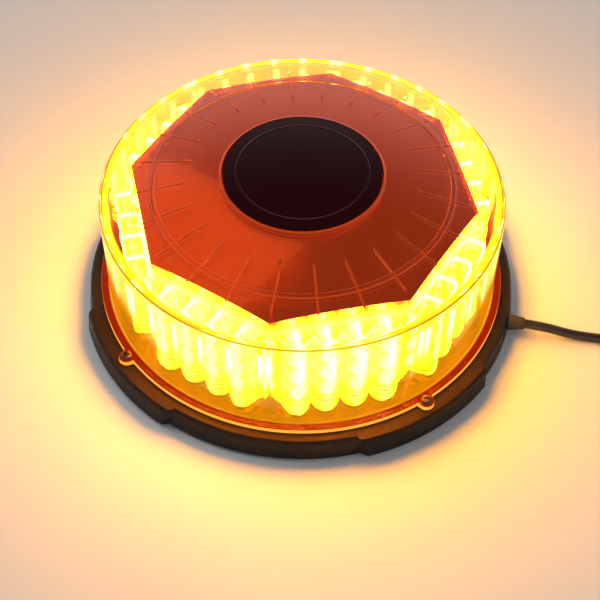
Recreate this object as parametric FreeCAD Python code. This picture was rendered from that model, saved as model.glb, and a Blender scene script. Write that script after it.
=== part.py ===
import FreeCAD, Part
import math
import os
from FreeCAD import Placement, Rotation, Vector

# Magnetic strobe beacon on a vehicle lead. Millimetres, +Z up. The origin is on the head's
# centre line, at the plane that its rubber pads rest on. +X points where the lead leaves.
# Corners of the eight-sided tower, lens screws and wall lobes all sit at multiples of 45 degrees.

UP = Vector(0, 0, 1)
ALONG = Vector(1, 0, 0)

# Lens
LENS_RADIUS = 70.0
LENS_WALL = 2.2
LENS_EDGE = 50.0            # height of the corner between wall and dome
LENS_CROWN = 10.3           # the dome rises this much above that corner
LENS_EDGE_ROUND = 1.5
FLANGE_WIDTH = 3.0
FLANGE_RADIUS = LENS_RADIUS + FLANGE_WIDTH
FLANGE_THICKNESS = 1.8
EAR_STAND_OUT = 0.8         # the ears' centres lie this far outside the flange
EAR_CIRCLE = FLANGE_RADIUS + EAR_STAND_OUT
EAR_RADIUS = 2.8
SEAL_START, SEAL_WIDTH = 0.3, 2.0
SEAL_INNER = LENS_RADIUS + SEAL_START
SEAL_OUTER = SEAL_INNER + SEAL_WIDTH
SEAL_THICKNESS = 0.8
RIDGE_INNER, RIDGE_WIDTH = 50.7, 1.7
RIDGE_PROUD = 0.3
RIB_COUNT = 24
RIB_INNER, RIB_OUTER = 40.5, 58.0
RIB_WIDTH = 0.6
RIB_PROUD = 0.25
DISC_RADIUS = 27.2
DISC_RECESS = 0.8
DISC_PROUD = 0.15
DISC_GAP = 0.1
DISC_RIM_WIDTH = 1.0
DISC_RIM_PROUD = 0.35

# Base
BASE_RIM = 5.0              # the base's foot stands out this far beyond the lens flange
BASE_RADIUS = FLANGE_RADIUS + BASE_RIM
LOBE_STAND_OUT = 2.0
LOBE_RADIUS = BASE_RADIUS + LOBE_STAND_OUT
LOBE_HALF_ANGLE = 18.6
RAMP_ANGLE = 2.0            # each lobe runs out into the wall over this angle
LOBE_ANGLES = (45, 135, 225, 315)
PAD_HEIGHT = 1.5            # rubber pads stand this far below the wall's foot
DECK_TOP = 9.2
DECK_THICKNESS = 2.0
WALL = 2.4
WALL_DRAFT = 0.8            # how far the wall leans in by its top
DECK_EDGE_ROUND = 1.2
BOSS_RADIUS = 3.2

# Bottom plate, magnets and pads
PLATE_THICKNESS = 2.0
PLATE_GAP = 0.2
MAGNET_RADIUS = 16.0
MAGNET_THICKNESS = 4.0
MAGNET_CIRCLE = 45.0
MAGNET_GAP = 0.2
PAD_STAND_OUT = 2.0         # the pads overlap the plate round each magnet
PLATE_SCREW_INSET = 7.6     # from the inside of the wall to the plate's screws

# Tower: distances from the centre line to the flats
FACES = 8
FACE_STEP = 360 / FACES
FRAME_INSET = 16.4          # from the lens to the frame's flats
FRAME_FLAT = LENS_RADIUS - FRAME_INSET
FRAME_WALL = 2.5
FRAME_TOP = 47.5
FRAME_RIM = 1.2             # thickness of the ledge that the cap sits on
FRAME_RIM_STAND_OUT = 1.9
FRAME_FOOT = 6.0            # width of the inward foot
CAP_STAND_OUT = 2.2         # the cap's flats beyond the frame's
CAP_FLAT = FRAME_FLAT + CAP_STAND_OUT
CAP_WALL = 1.5
CAP_SIDE = 2.65             # height of the cap's corners above its lower edge
CAP_CORNER = FRAME_TOP + CAP_SIDE
CAP_CROWN = 6.85

# Light boards and optics
BOARD_MARGIN = 1.2          # from a board's edge to the frame's corner
BOARD_THICKNESS = 1.6
BOARD_TOP_GAP = 0.3         # under the frame's ledge
COLUMNS = 4
ROWS = 4
COLUMN_PITCH = 9.9
CHIP_SIZE = 3.5
CHIP_HEIGHT = 1.0
OPTIC_GAP = 0.8             # air between chips and optics
OPTIC_PLATE = 1.4
OPTIC_MARGIN = 0.4
OPTIC_TOP_GAP = 2.5         # under the cap
OPTIC_CORNER = 11.0         # radius of the lower corners
BARREL_VALLEY = 0.55        # depth of the waist between two rows

# Driver board in the tower
DRIVER_MARGIN = 9.1         # from the frame's inside to the board's edge
DRIVER_BOTTOM = 17.0
DRIVER_THICKNESS = 1.6
DRIVER_POST_INSET = 6.0     # from the board's edge to its screws
FOOT_SCREW_INSET = 3.1      # from the frame's inside to its foot screws
CAPACITOR_RADIUS, CAPACITOR_HEIGHT, CAPACITOR_PLACE = 5.0, 12.5, 14.0
CHOKE_RADIUS, CHOKE_BORE, CHOKE_HEIGHT = 6.5, 2.5, 6.0
TRANSISTOR_LONG, TRANSISTOR_WIDE, TRANSISTOR_HIGH = 6.5, 6.0, 2.3
TRANSISTOR_ROWS, TRANSISTOR_PITCH = 4, 12.0
CONTROLLER_LONG, CONTROLLER_WIDE, CONTROLLER_HIGH = 4.0, 6.0, 1.6
SOCKET_LONG, SOCKET_WIDE, SOCKET_HIGH = 10.0, 8.0, 4.0

# Small screws: head radius, head height, shank radius
SCREW_HEAD, SCREW_HEAD_HEIGHT, SCREW_SHANK = 1.9, 1.3, 1.0
SCREW_GAP = 0.05
SCREW_TAPER = 0.75          # a head's top as a share of its rim

# Lead
CORD_DIAMETER = 3.4
EXIT_Y = -8.0
EXIT_Z = 5.35
EXIT_FLAT_DEPTH = 0.8       # small flat on the wall round the outlet
EXIT_FLAT_X = BASE_RADIUS - EXIT_FLAT_DEPTH
GROMMET_LENGTH = 5.8
GROMMET_RADIUS = 3.0
GROMMET_TIP = 2.1
GROMMET_NECK = 2.6
GROMMET_FLANGE = 1.2
GROMMET_GAP = 0.1
INNER_LEAD_INSET = 8.0      # from the driver board's edge to the lead's plug
INNER_LEAD_BEND = 5.0
INNER_LEAD_GAP = 2.2
CORD_RADIUS = CORD_DIAMETER / 2
INNER_LEAD_HOLE = CORD_RADIUS + INNER_LEAD_GAP
COIL_CENTRE = Vector(160.0, 24.8, 0)
COIL_MEAN = 25.0
COIL_WIDE = 5               # turns side by side
COIL_LAYERS = 4
TIE_THICKNESS = 0.9
TIE_WIDTH = 6.0
TIE_GAP = 0.05
TIE_ANGLES = (20, 200)
TAIL_ANGLE = -120.0         # where the last turn leaves the coil

# Accessory plug, lying on its side; lengths run forward from the back of its body
PLUG_RADIUS = 11.0
PLUG_NOSE_RADIUS = 10.2
PLUG_LENGTH = 60.0
PLUG_GRIP = 34.0            # length of the thick part
PLUG_CAVITY = 8.8
PLUG_END_WALL = 3.0
PLUG_BACK = 38.5            # from the point where the cord leaves the coil
RELIEF_LENGTH = 18.0
RELIEF_TIP = 2.3
RELIEF_RADIUS = 4.5
RELIEF_NECK = 3.0
RELIEF_FLANGE = 1.5
RELIEF_RINGS, RELIEF_RING_PITCH, RELIEF_RING_WIDTH = 5, 3.0, 1.0
RELIEF_RING_DEPTH = 0.4
RING_LENGTH = 8.0
RING_RADIUS = 9.6
RING_BORE = 6.2
RING_ROUND = 1.5
RING_FRONT_WALL = 1.5
RING_SPIGOT = 6.0
TIP_RADIUS = 4.0
TIP_STAND_OUT = 4.5
TIP_FLANGE_RADIUS, TIP_FLANGE = 5.9, 1.9
FUSE_RADIUS, FUSE_LENGTH = 3.15, 30.0
SPRING_RADIUS, SPRING_WIRE, SPRING_TURNS = 2.6, 0.7, 4
RIB_BACK, RIB_THICKNESS = 24.0, 2.0
CLIP_START, CLIP_END = 38.5, 51.5
CLIP_WIDTH, CLIP_THICKNESS, CLIP_BULGE = 5.0, 0.5, 11.6
CLIP_TAB, CLIP_SLOT_GAP = 2.0, 0.4
CLIP_TAB_OUTSIDE = 8.1
GRIP_GROOVES, GROOVE_PITCH, GROOVE_WIDTH, GROOVE_DEPTH = 4, 2.0, 1.0, 0.4
PLUG_FLAT = 9.6             # flat under the buttons, above the plug's axis
PLUG_FLAT_START, PLUG_FLAT_END = 4.5, 24.0
POWER_X, POWER_RADIUS, POWER_TOP = 9.6, 3.1, 10.9
MODE_X, MODE_RADIUS, MODE_TOP = 19.0, 2.2, 10.5
BUTTON_GAP = 0.3
BUTTON_FLANGE = 0.9
BUTTON_FLANGE_BOTTOM, BUTTON_FLANGE_TOP = 6.9, 7.5
BUTTON_STEM_RADIUS, BUTTON_STEM_BOTTOM = 1.5, 6.3
PILOT_X, PILOT_RADIUS = 14.6, 1.0
SWITCH_BOARD_BOTTOM, SWITCH_BOARD_TOP = 3.0, 4.2
SWITCH_BOARD_WIDTH = 14.0
SWITCH_SIZE, SWITCH_HEIGHT = 5.0, 1.0
PLUG_SCREW_X, PLUG_SCREW_Y = 29.0, 6.0
PILLAR_RADIUS = 2.2
PLUG_SCREW_SEAT, PLUG_SCREW_LENGTH, PLUG_SCREW_HOLE_TOP = -6.4, 11.0, 5.0


# ---- Small tools for the shapes below ----

def save(name, *shapes):
    """Write one sub-part; several shapes stay separate solids."""
    solids = [solid for shape in shapes for solid in shape.Solids]
    whole = solids[0] if len(solids) == 1 else Part.makeCompound(solids)
    whole.exportStep("parts/" + name + ".step")


def cylinder(radius, bottom, top, x=0.0, y=0.0):
    return Part.makeCylinder(radius, top - bottom, Vector(x, y, bottom))


def rod(radius, start, end, y=0.0, z=0.0):
    """Cylinder along +X."""
    return Part.makeCylinder(radius, end - start, Vector(start, y, z), ALONG)


def box(x0, x1, y0, y1, z0, z1):
    return Part.makeBox(x1 - x0, y1 - y0, z1 - z0, Vector(x0, y0, z0))


def pipe(outer, inner, bottom, top):
    return cylinder(outer, bottom, top).cut(cylinder(inner, bottom, top))


def polar(radius, degrees, z=0.0):
    angle = math.radians(degrees)
    return Vector(radius * math.cos(angle), radius * math.sin(angle), z)


def prism(points, bottom, top):
    """Upright block on a closed outline of points in the XY plane."""
    corners = [Vector(p.x, p.y, bottom) for p in points]
    face = Part.Face(Part.makePolygon(corners + corners[:1]))
    return face.extrude(Vector(0, 0, top - bottom))


def turned(outline, axis=UP, degrees=360):
    """Revolve a closed outline of points about an axis through the origin."""
    face = Part.Face(Part.makePolygon(outline + outline[:1]))
    return face.revolve(Vector(), axis, degrees)


def eight_sided(flat, bottom, top):
    corner = flat / math.cos(math.radians(FACE_STEP / 2))
    return prism([polar(corner, k * FACE_STEP) for k in range(FACES)], bottom, top)


def dome(radius, bottom, edge, crown, offset=0.0):
    """Drum with a spherical top; the offset moves the sphere's surface in or out."""
    sphere_radius = (radius ** 2 + crown ** 2) / (2 * crown)
    centre = edge + crown - sphere_radius
    ball_radius = sphere_radius + offset
    height = lambda r: centre + math.sqrt(ball_radius ** 2 - r ** 2)
    side = Part.makePolygon([Vector(0, 0, height(0)), Vector(0, 0, bottom),
                             Vector(radius, 0, bottom), Vector(radius, 0, height(radius))])
    top = Part.Arc(Vector(radius, 0, height(radius)), Vector(radius / 2, 0, height(radius / 2)),
                   Vector(0, 0, height(0))).toShape()
    return Part.Face(Part.Wire(side.Edges + [top])).revolve(Vector(), UP, 360)


def screw(x, y, seat, tip, head=SCREW_HEAD, head_height=SCREW_HEAD_HEIGHT, shank=SCREW_SHANK):
    """Pan-head screw with its head on the seat, pointing down to the tip."""
    skirt = cylinder(head, seat, seat + head_height / 2, x, y)
    crown = Part.makeCone(head, head * SCREW_TAPER, head_height / 2, Vector(x, y, seat + head_height / 2))
    return skirt.fuse([crown, cylinder(shank, tip, seat, x, y)])


def each_face(shape):
    """Copies of a shape built on the +X side, one on every flat of the tower."""
    for k in range(FACES):
        copy = shape.copy()
        copy.rotate(Vector(), UP, (k + 0.5) * FACE_STEP)
        yield k, copy


# ---- Head: base, bottom plate, magnets ----

DECK_BOTTOM = DECK_TOP - DECK_THICKNESS
PLATE_TOP = PAD_HEIGHT + PLATE_THICKNESS
CAVITY_RADIUS = BASE_RADIUS - WALL
PLATE_SCREW_CIRCLE = CAVITY_RADIUS - PLATE_SCREW_INSET
FRAME_INSIDE = FRAME_FLAT - FRAME_WALL
FOOT_SCREW_CIRCLE = FRAME_INSIDE - FOOT_SCREW_INSET
DRIVER_RADIUS = FRAME_INSIDE - DRIVER_MARGIN
DRIVER_POST_CIRCLE = DRIVER_RADIUS - DRIVER_POST_INSET
INNER_LEAD_X = DRIVER_RADIUS - INNER_LEAD_INSET
FLANGE_TOP = DECK_TOP + FLANGE_THICKNESS


def base_form(radius):
    """Outside of the base: a leaning wall, a rounded-off shoulder and the deck."""
    shoulder = DECK_TOP - DECK_EDGE_ROUND
    return turned([Vector(0, 0, PAD_HEIGHT), Vector(radius, 0, PAD_HEIGHT),
                   Vector(radius - WALL_DRAFT, 0, shoulder),
                   Vector(radius - WALL_DRAFT - DECK_EDGE_ROUND * 0.35, 0, DECK_TOP - DECK_EDGE_ROUND * 0.35),
                   Vector(radius - WALL_DRAFT - DECK_EDGE_ROUND, 0, DECK_TOP),
                   Vector(0, 0, DECK_TOP)])


def lobe_sector(angle):
    inner, outer, beyond = BASE_RADIUS - WALL_DRAFT, LOBE_RADIUS, LOBE_RADIUS * 1.2
    run_out = LOBE_HALF_ANGLE + RAMP_ANGLE
    return prism([Vector(), polar(inner, angle - run_out), polar(outer, angle - LOBE_HALF_ANGLE),
                  polar(beyond, angle - LOBE_HALF_ANGLE), polar(beyond, angle + LOBE_HALF_ANGLE),
                  polar(outer, angle + LOBE_HALF_ANGLE), polar(inner, angle + run_out)],
                 PAD_HEIGHT, DECK_TOP)


def make_base():
    base = base_form(BASE_RADIUS)
    wide = base_form(LOBE_RADIUS)
    for angle in LOBE_ANGLES:
        base = base.fuse(wide.common(lobe_sector(angle)))
    base = base.cut(cylinder(CAVITY_RADIUS, PAD_HEIGHT, DECK_BOTTOM))
    for angle in LOBE_ANGLES:
        ear = polar(EAR_CIRCLE, angle)
        base = base.fuse(cylinder(EAR_RADIUS, PLATE_TOP, DECK_BOTTOM, ear.x, ear.y))
        base = base.cut(cylinder(SCREW_SHANK + SCREW_GAP, PLATE_TOP, DECK_TOP, ear.x, ear.y))
        boss = polar(PLATE_SCREW_CIRCLE, angle - 45)
        base = base.fuse(cylinder(BOSS_RADIUS, PLATE_TOP, DECK_BOTTOM, boss.x, boss.y))
        base = base.cut(cylinder(SCREW_SHANK + SCREW_GAP, PLATE_TOP, DECK_BOTTOM, boss.x, boss.y))
        post = polar(DRIVER_POST_CIRCLE, angle)
        base = base.fuse(cylinder(BOSS_RADIUS, DECK_TOP, DRIVER_BOTTOM, post.x, post.y))
        foot = polar(FOOT_SCREW_CIRCLE, angle - 45)
        for hole in (post, foot):
            base = base.cut(cylinder(SCREW_SHANK + SCREW_GAP, DECK_BOTTOM, DRIVER_BOTTOM, hole.x, hole.y))
    base = base.cut(pipe(SEAL_OUTER, SEAL_INNER, DECK_TOP - SEAL_THICKNESS, DECK_TOP))
    half_flat = math.sqrt(BASE_RADIUS ** 2 - EXIT_FLAT_X ** 2)
    base = base.cut(box(EXIT_FLAT_X, LOBE_RADIUS, EXIT_Y - half_flat / 2, EXIT_Y + half_flat / 2,
                        PAD_HEIGHT, DECK_TOP))
    base = base.cut(rod(GROMMET_NECK, CAVITY_RADIUS - 2 * WALL, LOBE_RADIUS, EXIT_Y, EXIT_Z))
    base = base.cut(cylinder(INNER_LEAD_HOLE, DECK_BOTTOM, DECK_TOP, INNER_LEAD_X, EXIT_Y))
    save("base_housing", base)


def make_bottom():
    plate = cylinder(CAVITY_RADIUS - PLATE_GAP, PAD_HEIGHT, PLATE_TOP)
    magnets, pads, screws = [], [], []
    for angle in LOBE_ANGLES:
        spot = polar(MAGNET_CIRCLE, angle)
        plate = plate.cut(cylinder(MAGNET_RADIUS + MAGNET_GAP, PAD_HEIGHT, PLATE_TOP, spot.x, spot.y))
        magnets.append(cylinder(MAGNET_RADIUS, PAD_HEIGHT, PAD_HEIGHT + MAGNET_THICKNESS, spot.x, spot.y))
        pad = cylinder(MAGNET_RADIUS + PAD_STAND_OUT, 0, PAD_HEIGHT, spot.x, spot.y)
        lower_rim = [e for e in pad.Edges if e.Closed and e.BoundBox.ZMax < PAD_HEIGHT / 2]
        pads.append(pad.makeChamfer(PAD_HEIGHT / 4, lower_rim[:1]))
        hole = polar(PLATE_SCREW_CIRCLE, angle - 45)
        plate = plate.cut(cylinder(SCREW_SHANK + SCREW_GAP, PAD_HEIGHT, PLATE_TOP, hole.x, hole.y))
        head_seat = PAD_HEIGHT + SCREW_HEAD_HEIGHT
        plate = plate.cut(cylinder(SCREW_HEAD + SCREW_GAP, PAD_HEIGHT, head_seat, hole.x, hole.y))
        fastener = screw(0, 0, 0, head_seat - DECK_BOTTOM)
        fastener.rotate(Vector(), ALONG, 180)
        fastener.translate(Vector(hole.x, hole.y, head_seat))
        screws.append(fastener)
    save("bottom_plate", plate)
    save("magnets", *magnets)
    save("magnet_pads", *pads)
    save("bottom_screws", *screws)


# ---- Lens with its seal, screws and centre disc ----

def lens_dome(radius, bottom, offset=0.0):
    """Solid under the lens's outer sphere, or under a sphere parallel to it."""
    sphere_radius = (LENS_RADIUS ** 2 + LENS_CROWN ** 2) / (2 * LENS_CROWN)
    centre = LENS_EDGE + LENS_CROWN - sphere_radius
    ball = sphere_radius + offset
    edge = centre + math.sqrt(ball ** 2 - radius ** 2)
    crown = centre + ball - edge
    return dome(radius, bottom, edge, crown)


def raised_band(inner, outer, proud):
    ring = pipe(outer, inner, LENS_EDGE, LENS_EDGE + 2 * LENS_CROWN)
    skin = lens_dome(LENS_RADIUS, LENS_EDGE, proud).cut(lens_dome(LENS_RADIUS, DECK_TOP, -LENS_WALL / 2))
    return ring.common(skin)


def make_lens():
    drum = lens_dome(LENS_RADIUS, DECK_TOP)
    corner = [e for e in drum.Edges if e.Closed and abs(e.BoundBox.ZMin - LENS_EDGE) < 0.01]
    lens = drum.makeFillet(LENS_EDGE_ROUND, corner[:1])
    lens = lens.fuse(cylinder(FLANGE_RADIUS, DECK_TOP, FLANGE_TOP))
    ears, screws = [], []
    for angle in LOBE_ANGLES:
        ear = polar(EAR_CIRCLE, angle)
        ears.append(cylinder(EAR_RADIUS, DECK_TOP, FLANGE_TOP, ear.x, ear.y))
        screws.append(screw(ear.x, ear.y, FLANGE_TOP, PLATE_TOP + PLATE_GAP))
    lens = lens.fuse(ears)
    lens = lens.cut(lens_dome(LENS_RADIUS - LENS_WALL, DECK_TOP, -LENS_WALL))
    for angle in LOBE_ANGLES:
        ear = polar(EAR_CIRCLE, angle)
        lens = lens.cut(cylinder(SCREW_SHANK + SCREW_GAP, DECK_TOP, FLANGE_TOP, ear.x, ear.y))
    blades = []
    for k in range(RIB_COUNT):
        blade = box(RIB_INNER, RIB_OUTER, -RIB_WIDTH / 2, RIB_WIDTH / 2, LENS_EDGE, LENS_EDGE + 2 * LENS_CROWN)
        blade.rotate(Vector(), UP, k * 360 / RIB_COUNT)
        blades.append(blade)
    skin = lens_dome(LENS_RADIUS, LENS_EDGE, RIB_PROUD).cut(lens_dome(LENS_RADIUS, DECK_TOP, -LENS_WALL / 2))
    ribs = Part.makeCompound(blades).common(skin)
    recess_wall = DISC_RADIUS + DISC_GAP
    bands = [raised_band(RIDGE_INNER, RIDGE_INNER + RIDGE_WIDTH, RIDGE_PROUD),
             raised_band(recess_wall, recess_wall + DISC_RIM_WIDTH, DISC_RIM_PROUD)]
    lens = lens.fuse(ribs.Solids + bands)
    floor = lens_dome(DISC_RADIUS + 1, DECK_TOP, -DISC_RECESS)
    above = LENS_EDGE + 2 * LENS_CROWN
    lens = lens.cut(cylinder(recess_wall, LENS_EDGE, above).cut(floor))
    save("lens", lens.removeSplitter())
    save("lens_screws", *screws)
    save("lens_seal", pipe(SEAL_OUTER, SEAL_INNER, DECK_TOP - SEAL_THICKNESS, DECK_TOP))
    disc = lens_dome(DISC_RADIUS, LENS_EDGE, DISC_PROUD).cut(floor)
    save("centre_disc", disc)


# ---- Tower: frame, cap, boards, chips, optics ----

BOARD_FRONT = FRAME_FLAT + BOARD_THICKNESS
CHIP_FRONT = BOARD_FRONT + CHIP_HEIGHT
OPTIC_BACK = CHIP_FRONT + OPTIC_GAP
OPTIC_FRONT = OPTIC_BACK + OPTIC_PLATE
OPTIC_TOP = FRAME_TOP - OPTIC_TOP_GAP
OPTIC_WIDTH = 2 * (OPTIC_BACK * math.tan(math.radians(FACE_STEP / 2)) - OPTIC_MARGIN)
BOARD_TOP = FRAME_TOP - FRAME_RIM - BOARD_TOP_GAP
BOARD_WIDTH = 2 * (FRAME_FLAT * math.tan(math.radians(FACE_STEP / 2)) - BOARD_MARGIN)
BARREL_RADIUS = COLUMN_PITCH / 2
ROW_PITCH = (OPTIC_TOP - DECK_TOP) / ROWS


def column_places():
    return [(k - (COLUMNS - 1) / 2) * COLUMN_PITCH for k in range(COLUMNS)]


def row_heights():
    return [DECK_TOP + (k + 0.5) * ROW_PITCH for k in range(ROWS)]


def make_frame():
    frame = eight_sided(FRAME_FLAT, DECK_TOP, FRAME_TOP)
    frame = frame.fuse(eight_sided(FRAME_FLAT + FRAME_RIM_STAND_OUT, FRAME_TOP - FRAME_RIM, FRAME_TOP))
    frame = frame.cut(eight_sided(FRAME_INSIDE, DECK_TOP + DECK_THICKNESS, FRAME_TOP))
    frame = frame.cut(cylinder(FRAME_INSIDE - FRAME_FOOT, DECK_TOP, DECK_TOP + DECK_THICKNESS))
    screws = []
    for angle in LOBE_ANGLES:
        hole = polar(FOOT_SCREW_CIRCLE, angle - 45)
        seat = DECK_TOP + DECK_THICKNESS
        frame = frame.cut(cylinder(SCREW_SHANK + SCREW_GAP, DECK_TOP, seat, hole.x, hole.y))
        screws.append(screw(hole.x, hole.y, seat, DECK_BOTTOM))
    save("tower_frame", frame)
    save("frame_screws", *screws)
    corner = CAP_FLAT / math.cos(math.radians(FACE_STEP / 2))
    outside = dome(corner, FRAME_TOP, CAP_CORNER, CAP_CROWN)
    hollow = dome(corner, FRAME_TOP, CAP_CORNER, CAP_CROWN, -CAP_WALL)
    cap = outside.common(eight_sided(CAP_FLAT, FRAME_TOP, CAP_CORNER + 2 * CAP_CROWN))
    room = hollow.common(eight_sided(CAP_FLAT - CAP_WALL, FRAME_TOP, CAP_CORNER + 2 * CAP_CROWN))
    save("cap_reflector", cap.cut(room))


def optic_panel():
    """Clear moulding on the +X side: a plate with four barrel columns, waisted between rows."""
    plate = box(OPTIC_BACK, OPTIC_FRONT, -OPTIC_WIDTH / 2, OPTIC_WIDTH / 2, DECK_TOP, OPTIC_TOP)
    waist = BARREL_RADIUS - BARREL_VALLEY
    edges = []
    for centre in row_heights():
        low, high = centre - ROW_PITCH / 2, centre + ROW_PITCH / 2
        edges.append(Part.Arc(Vector(0, -waist, low), Vector(0, -BARREL_RADIUS, centre),
                              Vector(0, -waist, high)).toShape())
    sides = Part.makePolygon([Vector(0, -waist, OPTIC_TOP), Vector(0, 0, OPTIC_TOP),
                              Vector(0, 0, DECK_TOP), Vector(0, -waist, DECK_TOP)])
    barrel = Part.Face(Part.Wire(edges + sides.Edges)).revolve(Vector(), UP, 180)
    barrels = []
    for place in column_places():
        copy = barrel.copy()
        copy.translate(Vector(OPTIC_FRONT, place, 0))
        barrels.append(copy)
    panel = plate.fuse(barrels)
    # The outline has large lower corners.
    depth = BARREL_RADIUS + OPTIC_PLATE
    outline = box(OPTIC_BACK, OPTIC_BACK + depth + 1, -OPTIC_WIDTH / 2, OPTIC_WIDTH / 2, DECK_TOP, OPTIC_TOP)
    low_edges = [e for e in outline.Edges
                 if e.BoundBox.XLength > depth and e.BoundBox.ZMax < DECK_TOP + 1]
    panel = panel.common(outline.makeFillet(OPTIC_CORNER, low_edges))
    for side in (-1, 1):
        peg_y = side * 2 * COLUMN_PITCH
        panel = panel.fuse(rod(BOARD_THICKNESS / 2, BOARD_FRONT, OPTIC_BACK, peg_y, sum(row_heights()) / ROWS))
    return panel


def make_boards():
    board = box(FRAME_FLAT, BOARD_FRONT, -BOARD_WIDTH / 2, BOARD_WIDTH / 2, DECK_TOP, BOARD_TOP)
    half = CHIP_SIZE / 2
    chips = [box(BOARD_FRONT, CHIP_FRONT, y - half, y + half, z - half, z + half)
             for y in column_places() for z in row_heights()]
    panel = optic_panel()
    for k, copy in each_face(board):
        save("light_board_%d" % (k + 1), copy)
    save("led_chips", *[copy for k, copy in each_face(Part.makeCompound(chips))])
    for k, copy in each_face(panel):
        save("optic_panel_%d" % (k + 1), copy)


def make_driver():
    top = DRIVER_BOTTOM + DRIVER_THICKNESS
    board = cylinder(DRIVER_RADIUS, DRIVER_BOTTOM, top)
    screws = []
    for angle in LOBE_ANGLES:
        post = polar(DRIVER_POST_CIRCLE, angle)
        board = board.cut(cylinder(SCREW_SHANK + SCREW_GAP, DRIVER_BOTTOM, top, post.x, post.y))
        screws.append(screw(post.x, post.y, top, DECK_TOP))
    save("driver_board", board)
    save("driver_screws", *screws)
    place = CAPACITOR_PLACE
    save("capacitors", *[cylinder(CAPACITOR_RADIUS, top, top + CAPACITOR_HEIGHT, -place, y)
                         for y in (-place, place)])
    choke = pipe(CHOKE_RADIUS, CHOKE_BORE, top, top + CHOKE_HEIGHT)
    save("choke_coil", choke.translated(Vector(-place, 0, 0)))
    transistors = []
    for column in (0, 1):
        for row in range(TRANSISTOR_ROWS):
            x = CONTROLLER_LONG + column * TRANSISTOR_PITCH
            y = (row - (TRANSISTOR_ROWS - 1) / 2) * TRANSISTOR_PITCH
            transistors.append(box(x, x + TRANSISTOR_LONG, y - TRANSISTOR_WIDE / 2, y + TRANSISTOR_WIDE / 2,
                                   top, top + TRANSISTOR_HIGH))
    save("transistors", *transistors)
    save("controller_chip", box(-CONTROLLER_LONG / 2, CONTROLLER_LONG / 2, -CONTROLLER_WIDE / 2,
                                CONTROLLER_WIDE / 2, top, top + CONTROLLER_HIGH))
    save("wire_socket", box(INNER_LEAD_X - SOCKET_LONG / 2, INNER_LEAD_X + SOCKET_LONG / 2,
                            EXIT_Y - SOCKET_WIDE / 2, EXIT_Y + SOCKET_WIDE / 2,
                            DRIVER_BOTTOM - SOCKET_HIGH, DRIVER_BOTTOM))


# ---- Lead: grommet, inner lead, cord, coil, ties ----

def unit(vector):
    return vector * (1.0 / vector.Length)


def cord_path(points):
    """Straight runs joined by tangent arcs; each arc takes 0.45 of the shorter run beside it."""
    edges, radii = [], []
    start = points[0]
    for before, corner, after in zip(points, points[1:], points[2:]):
        back, ahead = unit(before - corner), unit(after - corner)
        turn = math.pi - back.getAngle(ahead)
        setback = 0.45 * min((before - corner).Length, (after - corner).Length)
        radius = setback / math.tan(turn / 2)
        first, last = corner + back * setback, corner + ahead * setback
        to_centre = radius / math.cos(turn / 2)
        middle = corner + unit(back + ahead) * (to_centre - radius)
        edges += [Part.LineSegment(start, first).toShape(), Part.Arc(first, middle, last).toShape()]
        radii.append(round(radius, 1))
        start = last
    edges.append(Part.LineSegment(start, points[-1]).toShape())
    return Part.Wire(edges), radii


def tube(name, points, radius):
    path, radii = cord_path(points)
    ahead = unit(points[1] - points[0])
    section = Part.Wire(Part.makeCircle(radius, points[0], ahead))
    solid = path.makePipeShell([section], True, True)
    expected = math.pi * radius ** 2 * path.Length
    print(name, "length %.1f" % path.Length, "radii", radii, "volume ratio %.4f" % (solid.Volume / expected))
    return solid


# The lead comes out level, sinks to the ground and runs to the bottom turn of its coil.
CORD_START_X = EXIT_FLAT_X + GROMMET_LENGTH
GROMMET_INSIDE = CAVITY_RADIUS - 2 * WALL
COIL_BOTTOM = TIE_THICKNESS
COIL_OUTER = COIL_MEAN + COIL_WIDE * CORD_RADIUS
COIL_INNER = COIL_MEAN - COIL_WIDE * CORD_RADIUS
LAYER_STEP = CORD_DIAMETER * math.sqrt(3) / 2
COIL_TOP = COIL_BOTTOM + CORD_DIAMETER + (COIL_LAYERS - 1) * LAYER_STEP
TAIL_RADIUS = COIL_MEAN + (COIL_WIDE - 2) * CORD_RADIUS

CORD_ROUTE = [Vector(CORD_START_X, EXIT_Y, EXIT_Z),
              Vector(90.0, EXIT_Y, EXIT_Z),
              Vector(101.0, -7.3, 1.95),
              Vector(115.0, -6.7, 1.75),
              Vector(135.0, -7.3, 1.95),
              Vector(158.0, -7.0, COIL_BOTTOM + CORD_RADIUS)]

PLUG_HEADING = TAIL_ANGLE + 90.0
TAIL_START = COIL_CENTRE + polar(TAIL_RADIUS, TAIL_ANGLE)
TAIL_WAY = polar(1.0, PLUG_HEADING)


def tail_point(distance, height):
    return TAIL_START + TAIL_WAY * distance + UP * height


TAIL_ROUTE = [tail_point(0.0, COIL_TOP - CORD_RADIUS),
              tail_point(8.0, PLUG_RADIUS),
              tail_point(PLUG_BACK - RELIEF_LENGTH, PLUG_RADIUS)]

INNER_ROUTE = [Vector(GROMMET_INSIDE, EXIT_Y, EXIT_Z),
               Vector(INNER_LEAD_X, EXIT_Y, EXIT_Z),
               Vector(INNER_LEAD_X, EXIT_Y, DRIVER_BOTTOM - SOCKET_HIGH)]


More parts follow.
